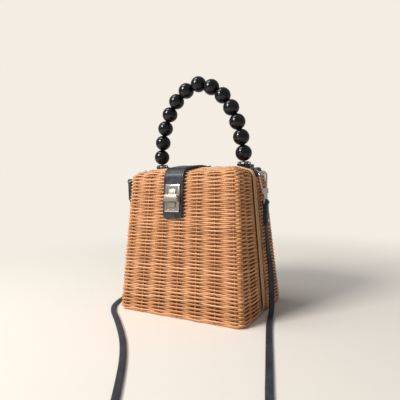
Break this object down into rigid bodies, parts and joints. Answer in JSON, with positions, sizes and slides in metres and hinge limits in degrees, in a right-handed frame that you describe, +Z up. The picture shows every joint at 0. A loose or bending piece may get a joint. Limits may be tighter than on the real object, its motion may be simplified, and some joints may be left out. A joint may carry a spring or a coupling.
{
  "type": "wicker box bag",
  "caption": "Woven wicker clamshell box bag with a black bead handle, leather flap with turn lock, and a clip-on leather shoulder strap.",
  "frame": {"origin": "on the floor under the middle of the bag's base", "axes": "+Z up, -Y towards the front with the lock, +X to the right seen from the front"},
  "size_m": [0.2914, 0.3695, 0.2623],
  "materials": {
    "wicker": "natural woven rattan, satin",
    "rim_cane": "natural cane, satin",
    "black_leather": "smooth black, slight sheen",
    "champagne_metal": "pale champagne plating",
    "nickel": "polished nickel",
    "black_bead": "glossy black lacquer",
    "cord": "braided black cord"
  },
  "bodies": {
    "back": {"back_basket": "wicker", "back_rim": "rim_cane", "hinge_strip": "black_leather", "flap": "black_leather", "flap_rivets": "champagne_metal", "lock_plate": "champagne_metal", "left_handle_pin": "champagne_metal", "right_handle_pin": "champagne_metal", "left_handle_tab": "black_leather", "right_handle_tab": "black_leather", "left_strap_tab": "black_leather", "right_strap_tab": "black_leather", "left_strap_ring": "champagne_metal", "right_strap_ring": "champagne_metal", "left_hook": "nickel", "right_hook": "nickel", "left_hook_eye": "nickel", "right_hook_eye": "nickel", "left_strap_end": "black_leather", "right_strap_end": "black_leather", "tab_rivets": "champagne_metal", "strap_rivets": "champagne_metal", "shoulder_strap": "black_leather"},
    "front": {"front_basket": "wicker", "front_rim": "rim_cane", "lock_base": "champagne_metal"},
    "toggle": {"lock_toggle": "champagne_metal"},
    "handle": {"handle_cord": "cord", "left_handle_eye": "champagne_metal", "right_handle_eye": "champagne_metal", "bead_01": "black_bead", "bead_02": "black_bead", "bead_03": "black_bead", "bead_04": "black_bead", "bead_05": "black_bead", "bead_06": "black_bead", "bead_07": "black_bead", "bead_08": "black_bead", "bead_09": "black_bead", "bead_10": "black_bead", "bead_11": "black_bead", "bead_12": "black_bead", "bead_13": "black_bead"},
    "left_gate": {"left_gate": "nickel"},
    "right_gate": {"right_gate": "nickel"}
  },
  "joints": [
    {"name": "front_open", "type": "hinge", "parent": "back", "child": "front", "pos_m": [0, 0, 0.0003], "axis": [1, 0, 0], "range_deg": [0, 40], "deforming": ["flap", "lock_plate", "hinge_strip", "shoulder_strap"]},
    {"name": "toggle_turn", "type": "hinge", "parent": "front", "child": "toggle", "pos_m": [-0.007, -0.0406, 0.1255], "axis": [0, -0.9921, 0.1258], "range_deg": [0, 90]},
    {"name": "handle_swing", "type": "hinge", "parent": "back", "child": "handle", "pos_m": [0, 0.007, 0.16045], "axis": [1, 0, 0], "range_deg": [-40, 40]},
    {"name": "left_gate_open", "type": "hinge", "parent": "back", "child": "left_gate", "pos_m": [-0.09292, 0.009, 0.14532], "axis": [0, -1, 0], "range_deg": [0, 16], "stiffness_Nm_per_rad": 0.004},
    {"name": "right_gate_open", "type": "hinge", "parent": "back", "child": "right_gate", "pos_m": [0.07481, 0.0073, 0.13104], "axis": [-0.7044, 0.7071, -0.0616], "range_deg": [0, 16], "stiffness_Nm_per_rad": 0.004}
  ]
}
